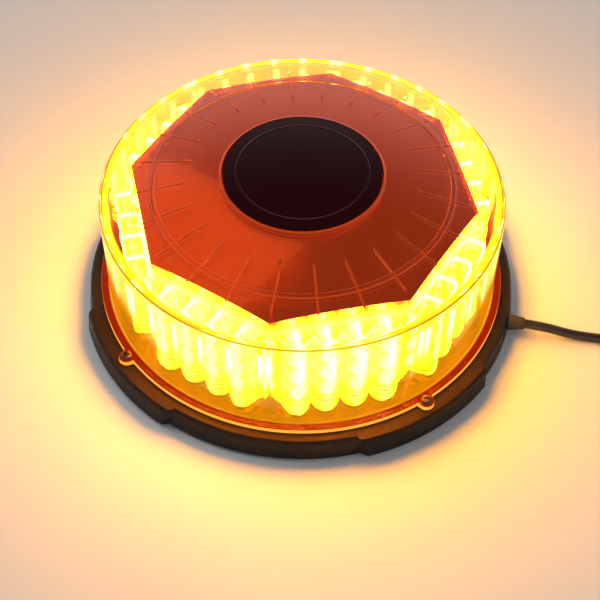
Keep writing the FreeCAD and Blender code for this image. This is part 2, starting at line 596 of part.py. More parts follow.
def make_grommet():
    cone = Part.makeCone(GROMMET_RADIUS, GROMMET_TIP, GROMMET_LENGTH,
                         Vector(EXIT_FLAT_X, EXIT_Y, EXIT_Z), ALONG)
    neck = rod(GROMMET_NECK, GROMMET_INSIDE, EXIT_FLAT_X, EXIT_Y, EXIT_Z)
    wall_face = CAVITY_RADIUS - PLATE_GAP - GROMMET_GAP
    head_room = box(GROMMET_INSIDE, wall_face, EXIT_Y - WALL * 2, EXIT_Y + WALL * 2, PLATE_TOP, DECK_BOTTOM)
    neck = neck.common(head_room).fuse(rod(GROMMET_NECK, wall_face, EXIT_FLAT_X, EXIT_Y, EXIT_Z))
    flange = box(GROMMET_INSIDE, GROMMET_INSIDE + GROMMET_FLANGE, EXIT_Y - GROMMET_NECK - GROMMET_FLANGE,
                 EXIT_Y + GROMMET_NECK + GROMMET_FLANGE, PLATE_TOP, DECK_BOTTOM)
    save("cable_grommet", cone.fuse([neck, flange]))


def make_lead():
    make_grommet()
    start, turn, end = INNER_ROUTE
    bend = INNER_LEAD_BEND
    path = Part.Wire([
        Part.LineSegment(start, turn + ALONG * bend).toShape(),
        Part.Arc(turn + ALONG * bend, turn + (ALONG + UP) * (bend * (1 - math.sqrt(0.5))),
                 turn + UP * bend).toShape(),
        Part.LineSegment(turn + UP * bend, end).toShape()])
    section = Part.Wire(Part.makeCircle(CORD_RADIUS, start, ALONG))
    save("inner_lead", path.makePipeShell([section], True, True))
    save("cord", tube("cord", CORD_ROUTE, CORD_RADIUS))
    save("cord_tail", tube("cord_tail", TAIL_ROUTE, CORD_RADIUS))
    coil = pipe(COIL_OUTER, COIL_INNER, COIL_BOTTOM, COIL_TOP)
    coil = coil.makeChamfer(CORD_RADIUS / 2, [e for e in coil.Edges if e.BoundBox.ZLength < CORD_RADIUS])
    coil.translate(COIL_CENTRE)
    save("cord_coil", coil)
    ties = []
    for angle in TIE_ANGLES:
        half = TIE_WIDTH / 2
        wall = TIE_THICKNESS
        inside, outside = math.sqrt(COIL_INNER ** 2 - half ** 2) - TIE_GAP, COIL_OUTER + TIE_GAP
        hole = box(inside, outside, -half, half, COIL_BOTTOM, COIL_TOP + TIE_GAP)
        band = box(inside - wall, outside + wall, -half, half, 0, COIL_TOP + TIE_GAP + wall)
        corners = [e for e in band.Edges if e.BoundBox.YLength > TIE_WIDTH - 0.01]
        band = band.makeFillet(wall, corners).cut(hole)
        band.rotate(Vector(), UP, angle)
        band.translate(COIL_CENTRE)
        ties.append(band)
    save("coil_ties", *ties)


# ---- Accessory plug, built along +X from the back of its body, axis at the origin ----

def save_plug(name, *shapes):
    placed = []
    for shape in shapes:
        copy = shape.copy()
        copy.Placement = Placement(tail_point(PLUG_BACK, PLUG_RADIUS), Rotation(UP, PLUG_HEADING)) * copy.Placement
        placed.append(copy)
    save(name, *placed)


def plug_outside():
    """Round body: a thick grip behind, a nose that fits the socket in front."""
    taper = PLUG_GRIP + 2 * (PLUG_RADIUS - PLUG_NOSE_RADIUS)
    return turned([Vector(0, 0, 0), Vector(0, 0, PLUG_RADIUS - 2.5), Vector(1, 0, PLUG_RADIUS - 1),
                   Vector(3, 0, PLUG_RADIUS), Vector(PLUG_GRIP, 0, PLUG_RADIUS),
                   Vector(taper, 0, PLUG_NOSE_RADIUS), Vector(PLUG_LENGTH, 0, PLUG_NOSE_RADIUS),
                   Vector(PLUG_LENGTH, 0, 0)], ALONG)


def make_plug_shells():
    outside = plug_outside()
    first = PLUG_GRIP - GRIP_GROOVES * GROOVE_PITCH
    grooves = [rod(PLUG_RADIUS + 1, x, x + GROOVE_WIDTH).cut(rod(PLUG_RADIUS - GROOVE_DEPTH, x, x + GROOVE_WIDTH))
               for x in [first + k * GROOVE_PITCH for k in range(GRIP_GROOVES)]]
    outside = outside.cut(Part.makeCompound(grooves))
    wide = 2 * PLUG_RADIUS
    outside = outside.cut(box(PLUG_FLAT_START, PLUG_FLAT_END, -wide, wide, PLUG_FLAT, wide))
    room = rod(PLUG_CAVITY, PLUG_END_WALL, PLUG_LENGTH)
    rib = rod(PLUG_CAVITY, RIB_BACK, RIB_BACK + RIB_THICKNESS)
    body = outside.cut(room).fuse(rib)
    body = body.cut(rod(RELIEF_NECK, 0, PLUG_END_WALL))
    slot_half = CLIP_WIDTH / 2 + CLIP_SLOT_GAP
    body = body.cut(box(CLIP_START - CLIP_SLOT_GAP, CLIP_END + CLIP_SLOT_GAP, -wide, wide,
                        -slot_half, slot_half))
    # Pillars carry the two screws that hold the halves together.
    for side in (-1, 1):
        y = side * PLUG_SCREW_Y
        pillar = cylinder(PILLAR_RADIUS, -PLUG_CAVITY, PLUG_CAVITY, PLUG_SCREW_X, y)
        body = body.fuse(pillar.common(room))
        body = body.cut(cylinder(SCREW_SHANK + SCREW_GAP, -PLUG_RADIUS, PLUG_SCREW_HOLE_TOP, PLUG_SCREW_X, y))
        body = body.cut(cylinder(SCREW_HEAD + SCREW_GAP, -PLUG_RADIUS, PLUG_SCREW_SEAT, PLUG_SCREW_X, y))
    for x, radius in ((POWER_X, POWER_RADIUS), (MODE_X, MODE_RADIUS)):
        body = body.cut(cylinder(radius + BUTTON_GAP, PLUG_CAVITY / 2, PLUG_RADIUS, x))
    body = body.cut(cylinder(PILOT_RADIUS, PLUG_CAVITY / 2, PLUG_RADIUS, PILOT_X))
    save_plug("plug_shell_upper", body.common(box(-1, PLUG_LENGTH + 1, -wide, wide, 0, wide)))
    save_plug("plug_shell_lower", body.common(box(-1, PLUG_LENGTH + 1, -wide, wide, -wide, 0)))
    screws = []
    for side in (-1, 1):
        fastener = screw(0, 0, 0, -PLUG_SCREW_LENGTH)
        fastener.rotate(Vector(), ALONG, 180)
        fastener.translate(Vector(PLUG_SCREW_X, side * PLUG_SCREW_Y, PLUG_SCREW_SEAT))
        screws.append(fastener)
    save_plug("plug_screws", *screws)


def make_plug_nose():
    front = PLUG_LENGTH + RING_LENGTH
    ring = rod(RING_RADIUS, PLUG_LENGTH, front)
    rim = [e for e in ring.Edges if e.Closed and e.BoundBox.XMin > front - 0.1]
    ring = ring.makeFillet(RING_ROUND, rim[:1])
    ring = ring.fuse(rod(PLUG_CAVITY - PLATE_GAP, PLUG_LENGTH - RING_SPIGOT, PLUG_LENGTH))
    ring = ring.cut(rod(RING_BORE, PLUG_LENGTH - RING_SPIGOT, front - RING_FRONT_WALL))
    ring = ring.cut(rod(TIP_RADIUS + BUTTON_GAP, front - RING_FRONT_WALL, front))
    save_plug("plug_nose_ring", ring)
    flange_front = front - RING_FRONT_WALL - 0.1
    tip = rod(TIP_RADIUS, flange_front, front + TIP_STAND_OUT)
    end = [e for e in tip.Edges if e.Closed and e.BoundBox.XMin > front + TIP_STAND_OUT - 0.1]
    tip = tip.makeFillet(TIP_RADIUS * 0.6, end[:1])
    tip = tip.fuse(rod(TIP_FLANGE_RADIUS, flange_front - TIP_FLANGE, flange_front))
    save_plug("plug_tip", tip)
    fuse_front = flange_front - TIP_FLANGE
    save_plug("fuse", rod(FUSE_RADIUS, fuse_front - FUSE_LENGTH, fuse_front))
    spring_back = RIB_BACK + RIB_THICKNESS
    spring_length = fuse_front - FUSE_LENGTH - spring_back
    helix = Part.makeHelix((spring_length - SPRING_WIRE) / SPRING_TURNS, spring_length - SPRING_WIRE, SPRING_RADIUS)
    half = SPRING_WIRE / 2
    section = Part.makePolygon([Vector(SPRING_RADIUS + half, 0, 0), Vector(SPRING_RADIUS, 0, half),
                                Vector(SPRING_RADIUS - half, 0, 0), Vector(SPRING_RADIUS, 0, -half),
                                Vector(SPRING_RADIUS + half, 0, 0)])
    spring = Part.Wire(helix).makePipeShell([section], True, True)
    spring.rotate(Vector(), Vector(0, 1, 0), 90)
    spring.translate(Vector(spring_back + half, 0, 0))
    save_plug("tip_spring", spring)


def make_ground_clips():
    """Spring-steel bows in the sides; their end tabs catch behind the shells."""
    inside, outside = CLIP_TAB_OUTSIDE - CLIP_THICKNESS, CLIP_TAB_OUTSIDE
    middle = (CLIP_START + CLIP_END) / 2
    half = CLIP_WIDTH / 2
    flat = lambda x, y: Vector(x, y, -half)
    tab_start, tab_end = CLIP_START - CLIP_TAB, CLIP_END + CLIP_TAB
    top = Part.Arc(flat(CLIP_START, outside), flat(middle, CLIP_BULGE), flat(CLIP_END, outside)).toShape()
    under = Part.Arc(flat(CLIP_END - CLIP_THICKNESS, inside), flat(middle, CLIP_BULGE - CLIP_THICKNESS),
                     flat(CLIP_START + CLIP_THICKNESS, inside)).toShape()
    right = Part.makePolygon([flat(CLIP_END, outside), flat(tab_end, outside), flat(tab_end, inside),
                              flat(CLIP_END - CLIP_THICKNESS, inside)])
    left = Part.makePolygon([flat(CLIP_START + CLIP_THICKNESS, inside), flat(tab_start, inside),
                             flat(tab_start, outside), flat(CLIP_START, outside)])
    outline = Part.Wire([top] + right.Edges + [under] + left.Edges)
    clip = Part.Face(outline).extrude(Vector(0, 0, CLIP_WIDTH))
    save_plug("ground_clip_left", clip)
    other = clip.copy()
    other.rotate(Vector(), ALONG, 180)
    save_plug("ground_clip_right", other)


def button(x, radius, top):
    cap = cylinder(radius, BUTTON_FLANGE_BOTTOM, top, x)
    rim = [e for e in cap.Edges if e.Closed and e.BoundBox.ZMin > top - 0.1]
    cap = cap.makeChamfer(0.4, rim[:1])
    flange = cylinder(radius + BUTTON_FLANGE, BUTTON_FLANGE_BOTTOM, BUTTON_FLANGE_TOP, x)
    stem = cylinder(BUTTON_STEM_RADIUS, BUTTON_STEM_BOTTOM, BUTTON_FLANGE_BOTTOM, x)
    return cap.fuse([flange, stem])


def make_plug_switches():
    save_plug("power_button", button(POWER_X, POWER_RADIUS, POWER_TOP))
    save_plug("mode_button", button(MODE_X, MODE_RADIUS, MODE_TOP))
    save_plug("pilot_light", cylinder(PILOT_RADIUS, PLUG_CAVITY, PLUG_FLAT + 0.2, PILOT_X))
    half = SWITCH_BOARD_WIDTH / 2
    board_start = PLUG_END_WALL + RELIEF_FLANGE
    save_plug("switch_board", box(board_start, RIB_BACK, -half, half, SWITCH_BOARD_BOTTOM, SWITCH_BOARD_TOP))
    size = SWITCH_SIZE / 2
    switches = [box(x - size, x + size, -size, size, SWITCH_BOARD_TOP, SWITCH_BOARD_TOP + SWITCH_HEIGHT)
                for x in (POWER_X, MODE_X)]
    save_plug("switches", *switches)


def make_plug_relief():
    cone = Part.makeCone(RELIEF_TIP, RELIEF_RADIUS, RELIEF_LENGTH, Vector(-RELIEF_LENGTH, 0, 0), ALONG)
    neck = rod(RELIEF_NECK, 0, PLUG_END_WALL)
    flange = rod(RELIEF_RADIUS, PLUG_END_WALL, PLUG_END_WALL + RELIEF_FLANGE)
    flange = flange.cut(box(0, 2 * RELIEF_LENGTH, -PLUG_RADIUS, PLUG_RADIUS, SWITCH_BOARD_BOTTOM, PLUG_RADIUS))
    relief = cone.fuse([neck, flange])
    slope = (RELIEF_RADIUS - RELIEF_TIP) / RELIEF_LENGTH
    for k in range(RELIEF_RINGS):
        along = (k + 1) * RELIEF_RING_PITCH
        x, stop = along - RELIEF_LENGTH, along - RELIEF_LENGTH + RELIEF_RING_WIDTH
        core = RELIEF_TIP + slope * along - RELIEF_RING_DEPTH
        relief = relief.cut(rod(PLUG_RADIUS, x, stop).cut(rod(core, x, stop)))
    save_plug("plug_strain_relief", relief)


os.makedirs("parts", exist_ok=True)
make_base()
make_bottom()
make_lens()
make_frame()
make_boards()
make_driver()
make_lead()
make_plug_shells()
make_plug_nose()
make_ground_clips()
make_plug_switches()
make_plug_relief()
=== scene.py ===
import math

import bpy
import numpy as np
from mathutils import Matrix, Vector


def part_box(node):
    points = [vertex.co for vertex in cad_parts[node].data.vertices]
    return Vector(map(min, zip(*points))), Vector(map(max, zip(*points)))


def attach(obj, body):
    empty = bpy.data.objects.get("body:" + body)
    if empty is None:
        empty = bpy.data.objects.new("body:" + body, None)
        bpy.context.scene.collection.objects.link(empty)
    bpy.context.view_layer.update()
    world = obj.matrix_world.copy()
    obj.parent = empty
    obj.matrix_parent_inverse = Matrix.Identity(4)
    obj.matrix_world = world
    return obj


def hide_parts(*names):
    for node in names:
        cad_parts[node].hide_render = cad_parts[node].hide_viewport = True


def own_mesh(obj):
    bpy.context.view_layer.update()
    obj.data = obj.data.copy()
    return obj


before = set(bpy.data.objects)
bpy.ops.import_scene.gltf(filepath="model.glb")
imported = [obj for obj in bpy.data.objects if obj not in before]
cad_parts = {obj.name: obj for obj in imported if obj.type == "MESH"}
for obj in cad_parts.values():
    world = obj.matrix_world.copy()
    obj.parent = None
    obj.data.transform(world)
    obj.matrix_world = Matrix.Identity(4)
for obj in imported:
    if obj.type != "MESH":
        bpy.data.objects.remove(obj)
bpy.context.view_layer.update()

# ---- Camera ----
# It looks down on the head from the front, a little to the right of the head's own front,
# with a lens long enough that the drum's wall stays nearly straight.

CAMERA_AZIMUTH = math.radians(9.5)
CAMERA_ELEVATION = math.radians(50.21)
CAMERA_DISTANCE = 0.4979
CAMERA_TILT = math.radians(0.75)
CAMERA_AIM = Vector((-0.0003, -0.0001, -0.00885))
SENSOR = 36.0
FOCAL_LENGTH = 78.83

camera_data = bpy.data.cameras.new("camera")
camera_data.sensor_width = SENSOR
camera_data.lens = FOCAL_LENGTH
camera_data.clip_start = 0.01
camera = bpy.data.objects.new("camera", camera_data)
camera_back = Vector((math.sin(CAMERA_AZIMUTH) * math.cos(CAMERA_ELEVATION),
                      -math.cos(CAMERA_AZIMUTH) * math.cos(CAMERA_ELEVATION),
                      math.sin(CAMERA_ELEVATION)))
camera.location = CAMERA_AIM + camera_back * CAMERA_DISTANCE
camera.rotation_mode = "QUATERNION"
camera.rotation_quaternion = ((-camera_back).to_track_quat("-Z", "Y")
                              @ Matrix.Rotation(CAMERA_TILT, 3, "Z").to_quaternion())
bpy.context.collection.objects.link(camera)
bpy.context.scene.camera = camera
bpy.context.scene.view_settings.view_transform = "Standard"


# ---- Floor ----
# A pale sheet of paper with a faint mottle, laid flat and wider than any view. It isn't part of
# the beacon: it only carries the head's shadow and its glow.

FLOOR_HALF = 3.0
FLOOR_COLOUR, FLOOR_MOTTLE = (0.86, 0.85, 0.84), (0.89, 0.88, 0.87)


class Socket:
    """An output of a node; arithmetic on it adds Math nodes to the same finish."""

    def __init__(self, finish, end):
        self.finish, self.end = finish, end

    def math(self, operation, *values):
        return self.finish.make("Math", {"operation": operation}, dict(enumerate(values)))

    def __add__(self, other):
        return self.math("ADD", self, other)

    def __sub__(self, other):
        return self.math("SUBTRACT", self, other)

    def __mul__(self, other):
        return self.math("MULTIPLY", self, other)

    def __truediv__(self, other):
        return self.math("DIVIDE", self, other)

    def __pow__(self, other):
        return self.math("POWER", self, other)

    def __mod__(self, other):
        return self.math("FLOORED_MODULO", self, other)

    def __rsub__(self, other):
        return self.math("SUBTRACT", other, self)

    def __abs__(self):
        return self.math("ABSOLUTE", self)

    def __or__(self, other):
        """The larger of two masks."""
        return self.math("MAXIMUM", self, other)

    def sine(self):
        return self.math("SINE", self)

    __radd__, __rmul__ = __add__, __mul__


class Finish:
    """A material being made, with the one method that makes its nodes."""

    def __init__(self, name, tree=None):
        if tree is None:
            self.material = bpy.data.materials.new(name)
            self.material.use_nodes = True
            tree = self.material.node_tree
        self.tree = tree
        self.tree.nodes.clear()

    def make(self, kind, settings, values, out=0):
        """One node: its type, its own settings, then the values or links of its sockets."""
        node = self.tree.nodes.new("ShaderNode" + kind)
        for name, setting in settings.items():
            setattr(node, name, setting)
        for name, value in values.items():
            if isinstance(value, Socket):
                self.tree.links.new(value.end, node.inputs[name])
            else:
                node.inputs[name].default_value = value
        return Socket(self, node.outputs[out]) if len(node.outputs) else node

    def axes(self, vector=None):
        """Object coordinates in metres, or another vector, as three numbers."""
        split = self.make("SeparateXYZ", {}, {"Vector": vector or self.place()})
        return [Socket(self, split.end.node.outputs[k]) for k in range(3)]

    def place(self):
        return self.make("TexCoord", {}, {}, "Object")

    def noise(self, scale, detail=2.0):
        """Fractal noise from 0 to 1 with its middle at 0.5; the scale is in features per metre."""
        return self.make("TexNoise", {}, {"Vector": self.place(), "Scale": scale, "Detail": detail})

    def step(self, value, low, high):
        """A soft step from 0 at low to 1 at high, in either direction."""
        return self.make("MapRange", {"interpolation_type": "SMOOTHSTEP"},
                         {"Value": value, "From Min": low, "From Max": high})

    def blend(self, share, first, second):
        """A colour between two."""
        return self.make("Mix", {"data_type": "RGBA"}, {0: share, 6: colour(first), 7: colour(second)}, 2)

    def bump(self, height, distance, strength=0.5):
        return self.make("Bump", {}, {"Height": height, "Distance": distance, "Strength": strength})

    def shader(self, **values):
        """A Principled shader; underscores in the names stand for spaces."""
        return self.make("BsdfPrincipled", {}, {name.replace("_", " "): colour(value)
                                                for name, value in values.items()})

    def mix(self, share, first, second):
        """Two shaders, the second by the share given."""
        return self.make("MixShader", {}, {0: share, 1: first, 2: second})

    def end(self, shader):
        """Join the finished shader to the material's output."""
        self.make("OutputMaterial", {}, {"Surface": shader})
        return self.material


def colour(value):
    """A colour with its opaque fourth number; anything else as it is."""
    return value + (1.0,) if isinstance(value, tuple) and len(value) == 3 else value


def surface(name, points, closed_round=True, caps=True, sharp=35):
    """Mesh object from one or more grids of points, each (rows, columns, 3).

    Rows run along the profile and columns round it; a cap closes the first and last rows.
    """
    grids = points if points.ndim == 4 else points[None]
    copies, rows, columns = grids.shape[:3]
    index = np.arange(copies * rows * columns).reshape(copies, rows, columns)
    right = np.roll(index, -1, axis=2) if closed_round else index[:, :, 1:]
    left = index if closed_round else index[:, :, :-1]
    quads = np.stack([left[:, :-1], right[:, :-1], right[:, 1:], left[:, 1:]], axis=-1)
    faces = quads.reshape(-1, 4).tolist()
    if caps:
        faces += index[:, 0, ::-1].tolist() + index[:, -1].tolist()
    mesh = bpy.data.meshes.new(name)
    mesh.from_pydata(grids.reshape(-1, 3).tolist(), [], faces)
    mesh.polygons.foreach_set("use_smooth", np.ones(len(mesh.polygons), dtype=bool))
    mesh.set_sharp_from_angle(angle=math.radians(sharp))
    mesh.update()
    piece = bpy.data.objects.new(name, mesh)
    bpy.context.collection.objects.link(piece)
    return piece


floor_sides = np.array([-FLOOR_HALF, FLOOR_HALF])
floor_x, floor_y = np.meshgrid(floor_sides, floor_sides)
floor = surface("floor", np.stack([floor_x, floor_y, 0 * floor_x], axis=-1), closed_round=False, caps=False)
paper = Finish("floor paper")
floor.data.materials.append(paper.end(paper.shader(
    Base_Color=paper.blend(paper.noise(3.0, 1.0), FLOOR_COLOUR, FLOOR_MOTTLE), Roughness=0.7)))


# ---- Lamps and room ----
# One wide soft lamp over the left shoulder and a weaker one on the right. Both are kept low,
# because the head gives light itself. The room is pale all round and dimmer overhead, so the
# clear cover doesn't turn milky.

ROOM_PALE, ROOM_OVERHEAD = (0.90, 0.90, 0.90), (0.10, 0.10, 0.105)
ROOM_LIGHT = (0.15, 0.15, 0.155)          # what the room adds to matt surfaces


def lamp(name, place, size, power):
    """A square soft lamp that faces the head."""
    data = bpy.data.lights.new(name, "AREA")
    data.size, data.energy = size, power
    light = bpy.data.objects.new(name, data)
    light.location = place
    light.rotation_mode = "QUATERNION"
    light.rotation_quaternion = (-Vector(place)).to_track_quat("-Z", "Y")
    light.visible_glossy = False
    bpy.context.collection.objects.link(light)


lamp("key", (-1.6, 0.9, 2.3), 2.4, 30.0)
lamp("fill", (2.0, -0.6, 1.6), 1.8, 11.0)

world = bpy.data.worlds.new("room")
world.use_nodes = True
bpy.context.scene.world = world
room = Finish("room", world.node_tree)
room_up = room.axes(room.make("TexCoord", {}, {}, "Generated"))[2]
room_seen = room.blend(room.step(room_up, 0.30, 0.80), ROOM_PALE, ROOM_OVERHEAD)
sees_room = (room.make("LightPath", {}, {}, "Is Camera Ray") | room.make("LightPath", {}, {}, "Is Glossy Ray")
             | room.make("LightPath", {}, {}, "Is Transmission Ray"))
room.make("OutputWorld", {}, {"Surface": room.make(
    "Background", {}, {"Color": room.blend(sees_room, ROOM_LIGHT, room_seen)})})


# ---- Tip spring ----
# Behind the plug's tip a coil spring of plated wire pushes the fuse forward. It is wound from
# round wire, stands on a rib in the shell, and shortens as the tip goes in.

MM = 0.001
TAIL_HEADING = math.radians(-30.0)        # the way the plug points on the ground
SPRING_LENGTH, TIP_TRAVEL = 8.5, 3.0      # in millimetres, as the spring's other sizes are
SPRING_RADIUS, WIRE_RADIUS, SPRING_TURNS = 2.6, 0.35, 4
STEPS_PER_TURN, STEPS_ROUND_WIRE = 24, 12

ahead = np.array([math.cos(TAIL_HEADING), math.sin(TAIL_HEADING), 0.0])
spring_centre = np.mean(np.array(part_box("tip_spring")), axis=0)
spring_foot = spring_centre - ahead * (SPRING_LENGTH / 2 * MM)


def spring_mesh():
    """A round wire along a helix: turned by the angle round the axis, raised in even steps."""
    turn = np.linspace(0, 2 * math.pi * SPRING_TURNS, STEPS_PER_TURN * SPRING_TURNS + 1)[:, None]
    around = np.linspace(0, 2 * math.pi, STEPS_ROUND_WIRE, endpoint=False)[None, :]
    reach = SPRING_RADIUS + WIRE_RADIUS * np.cos(around)
    along = (WIRE_RADIUS + turn / turn[-1] * (SPRING_LENGTH - 2 * WIRE_RADIUS)
             + WIRE_RADIUS * np.sin(around))
    side, up = reach * np.cos(turn), reach * np.sin(turn)
    upwards = np.array([0.0, 0.0, 1.0])
    return spring_foot + MM * (along[..., None] * ahead + side[..., None] * np.cross(upwards, ahead)
                               + up[..., None] * upwards)


spring_steel = Finish("plated spring wire")
spring_tone = spring_steel.noise(500.0, 3.0)
spring = surface("spring_wire", spring_mesh())
spring.data.materials.append(spring_steel.end(spring_steel.shader(
    Base_Color=spring_steel.blend(spring_tone, (0.52, 0.52, 0.53), (0.64, 0.63, 0.62)),
    Metallic=1.0, Roughness=spring_tone * 0.15 + 0.2)))
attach(spring, "beacon")
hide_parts("tip_spring")
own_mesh(spring)


# ---- Lead ----
# A thin round two-core lead in a black vinyl jacket. It leaves the base level, sinks to the
# ground, runs to the right and ends in a neat tied coil and its accessory plug.

CORD_DIAMETER = 0.0034
COIL_CENTRE = Vector((0.160, 0.0248, 0.0))
COIL_LANES = [0.0318, 0.0284, 0.0250, 0.0216, 0.0182, 0.0199, 0.0233, 0.0267, 0.0301] * 2
COIL_HEIGHTS = [0.0026] * 5 + [0.00554] * 4 + [0.00849] * 5 + [0.01143] * 4
COIL_START, COIL_END = -90.0, -120.0
POINTS_PER_TURN = 16
LANE_CHANGE = 0.25                        # the share of a turn in which it moves to the next lane
TURN_SWELL = 1.019                        # a spline cuts inside its points by this much
TAIL = [(0.008, 0.011), (0.0205, 0.011)]  # distance along the plug's line, and height

route = [Vector((0.083, -0.008, 0.00535)), Vector((0.090, -0.008, 0.00535)),
         Vector((0.101, -0.0073, 0.00195)), Vector((0.115, -0.0067, 0.00175)),
         Vector((0.135, -0.0073, 0.00195)), Vector((0.158, -0.0070, 0.0026))]
cord_exit = route[0].copy()
turns = len(COIL_LANES) - (COIL_START - COIL_END) / 360
for count in range(1, round(turns * POINTS_PER_TURN) + 1):
    turn = count / POINTS_PER_TURN
    lane = min(int(turn), len(COIL_LANES) - 1)
    onward = min(lane + 1, len(COIL_LANES) - 1)
    shift = max(0.0, (turn - lane - 1 + LANE_CHANGE) / LANE_CHANGE)
    radius = (COIL_LANES[lane] * (1 - shift) + COIL_LANES[onward] * shift) * TURN_SWELL
    height = COIL_HEIGHTS[lane] * (1 - shift) + COIL_HEIGHTS[onward] * shift
    angle = math.radians(COIL_START) + turn * 2 * math.pi
    route.append(COIL_CENTRE + Vector((radius * math.cos(angle), radius * math.sin(angle), height)))
end_angle = math.radians(COIL_END)
tail_start = COIL_CENTRE + Vector((math.cos(end_angle), math.sin(end_angle), 0)) * COIL_LANES[-1]
for distance, height in TAIL:
    route.append(tail_start + Vector((math.cos(TAIL_HEADING) * distance,
                                      math.sin(TAIL_HEADING) * distance, height)))

cord_curve = bpy.data.curves.new("lead", "CURVE")
cord_curve.dimensions = "3D"
cord_curve.bevel_depth = CORD_DIAMETER / 2
cord_curve.bevel_resolution = 4
cord_curve.resolution_u = 6
cord_curve.use_fill_caps = True
cord_line = cord_curve.splines.new("NURBS")
cord_line.points.add(len(route) - 1)
for spline_point, place in zip(cord_line.points, route):
    spline_point.co = (*place, 1.0)
cord_line.order_u = 3
cord_line.use_endpoint_u = True
cord_piece = bpy.data.objects.new("lead", cord_curve)
bpy.context.collection.objects.link(cord_piece)

jacket = Finish("lead jacket")
jacket_dust = jacket.step(jacket.noise(90.0, 3.0), 0.45, 0.8)
cord_curve.materials.append(jacket.end(jacket.shader(
    Base_Color=jacket.blend(jacket_dust * 0.35, (0.016, 0.015, 0.016), (0.040, 0.036, 0.034)),
    Roughness=jacket_dust * 0.15 + 0.36,
    Normal=jacket.bump(jacket.noise(2600.0), 0.00004))))

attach(cord_piece, "beacon")
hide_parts("cord", "cord_coil", "cord_tail")


# ---- Base ----
# The base and its bottom plate are moulded in black ABS with a fine spark-eroded grain, a
# little scuffed, and rubbed paler along the rim. The deck under the cover is left smooth.

DECK_EDGE = (0.0690, 0.0670)              # the deck's polish ends under the cover's wall
RIM_START = (0.0765, 0.0790)
BASE_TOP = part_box("base_housing")[1][2]
HOUSING_BLACK, HOUSING_RUBBED = (0.007, 0.005, 0.005), (0.020, 0.016, 0.015)


def dress(material, *nodes):
    """Give CAD nodes their finish."""
    for node in nodes:
        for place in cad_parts[node].material_slots:
            place.material = material


grain = Finish("black housing")
grain_fine = grain.noise(2400.0)
grain_scuff = grain.step(grain.noise(55.0, 4.0), 0.52, 0.72)
grain_x, grain_y, grain_z = grain.axes()
grain_r = (grain_x ** 2.0 + grain_y ** 2.0) ** 0.5
on_deck = grain.step(grain_r, *DECK_EDGE)
rubbed = (grain.step(grain_r, *RIM_START) * grain.step(grain_z, BASE_TOP - 0.0022, BASE_TOP - 0.0006)
          * grain.step(grain.noise(240.0, 3.0), 0.42, 0.62))
dress(grain.end(grain.shader(
    Base_Color=grain.blend(grain_scuff * 0.4 | rubbed * 0.8, HOUSING_BLACK, HOUSING_RUBBED),
    Roughness=(grain_fine * 0.14 + grain_scuff * 0.08 - rubbed * 0.08 + 0.26) * (1.0 - on_deck) + 0.12,
    Specular_IOR_Level=0.20,
    Normal=grain.bump(grain_fine, 0.00006, 0.4))), "base_housing", "bottom_plate")


# ---- Magnets, pads and seal ----
# Four nickel-plated disc magnets hold the head to a steel roof. Each has a moulded rubber pad
# under it, which keeps paint from scratches, and a rubber ring seals the cover to the deck.

pad_rubber = Finish("pad rubber")
pad_fine = pad_rubber.noise(900.0, 3.0)
dress(pad_rubber.end(pad_rubber.shader(
    Base_Color=pad_rubber.blend(pad_fine, (0.024, 0.023, 0.022), (0.045, 0.043, 0.041)),
    Roughness=pad_fine * 0.2 + 0.65, Normal=pad_rubber.bump(pad_fine, 0.0001))),
    "magnet_pads", "lens_seal", "cable_grommet", "plug_strain_relief", "inner_lead")

nickel = Finish("nickel plating")
nickel_wear = nickel.noise(300.0, 4.0)
dress(nickel.end(nickel.shader(
    Base_Color=nickel.blend(nickel_wear, (0.60, 0.60, 0.61), (0.70, 0.69, 0.67)),
    Metallic=1.0, Roughness=nickel_wear * 0.2 + 0.12)),
    "magnets", "plug_tip", "ground_clip_left", "ground_clip_right")


# ---- Tower: frame and cap ----
# The eight-sided frame is moulded in white ABS. The cap on it is the same moulding silvered
# inside and out, so it throws stray light outwards; its faint glow is painted light.

# The cap's glow is painted light: it stands in for light bouncing inside the cover.
CAP_PAINTED_GLOW, CAP_PAINTED_GLOW_COLOUR = 0.22, (1.0, 0.35, 0.06)

frame_plastic = Finish("tower plastic")
frame_tone = frame_plastic.noise(60.0, 3.0)
dress(frame_plastic.end(frame_plastic.shader(
    Base_Color=frame_plastic.blend(frame_tone, (0.60, 0.58, 0.54), (0.68, 0.66, 0.62)),
    Roughness=frame_tone * 0.15 + 0.42)), "tower_frame")

silver = Finish("silvered cap")
dress(silver.end(silver.shader(
    Base_Color=silver.blend(silver.noise(30.0), (0.38, 0.36, 0.34), (0.48, 0.46, 0.44)),
    Metallic=0.75, Roughness=silver.noise(700.0, 3.0) * 0.04 + 0.16,
    Emission_Color=CAP_PAINTED_GLOW_COLOUR, Emission_Strength=CAP_PAINTED_GLOW)), "cap_reflector")


# ---- Light boards and chips ----
# White solder-masked boards, one on each flat, carry four rows of four light chips. Their
# amber glow is painted light that stands in for what the chips spill on them.

FLATS = 8
MASK_DARK, MASK_LIGHT = (0.74, 0.74, 0.70), (0.83, 0.83, 0.79)
# The boards' glow is painted light, standing in for the chips' spill.
BOARD_PAINTED_GLOW, BOARD_PAINTED_GLOW_COLOUR = 4.0, (1.0, 0.70, 0.08)
CHIP_POWER, CHIP_LIGHT = 150.0, (1.0, 0.86, 0.62)

lit_board = Finish("lit circuit board")
dress(lit_board.end(lit_board.shader(
    Base_Color=lit_board.blend(lit_board.noise(160.0), MASK_DARK, MASK_LIGHT), Roughness=0.35,
    Emission_Color=BOARD_PAINTED_GLOW_COLOUR, Emission_Strength=BOARD_PAINTED_GLOW)),
    *["light_board_%d" % (k + 1) for k in range(FLATS)])

chip = Finish("light chip")
dress(chip.end(chip.shader(
    Base_Color=(0.95, 0.72, 0.25), Roughness=0.3, Emission_Color=CHIP_LIGHT,
    Emission_Strength=CHIP_POWER)), "led_chips")
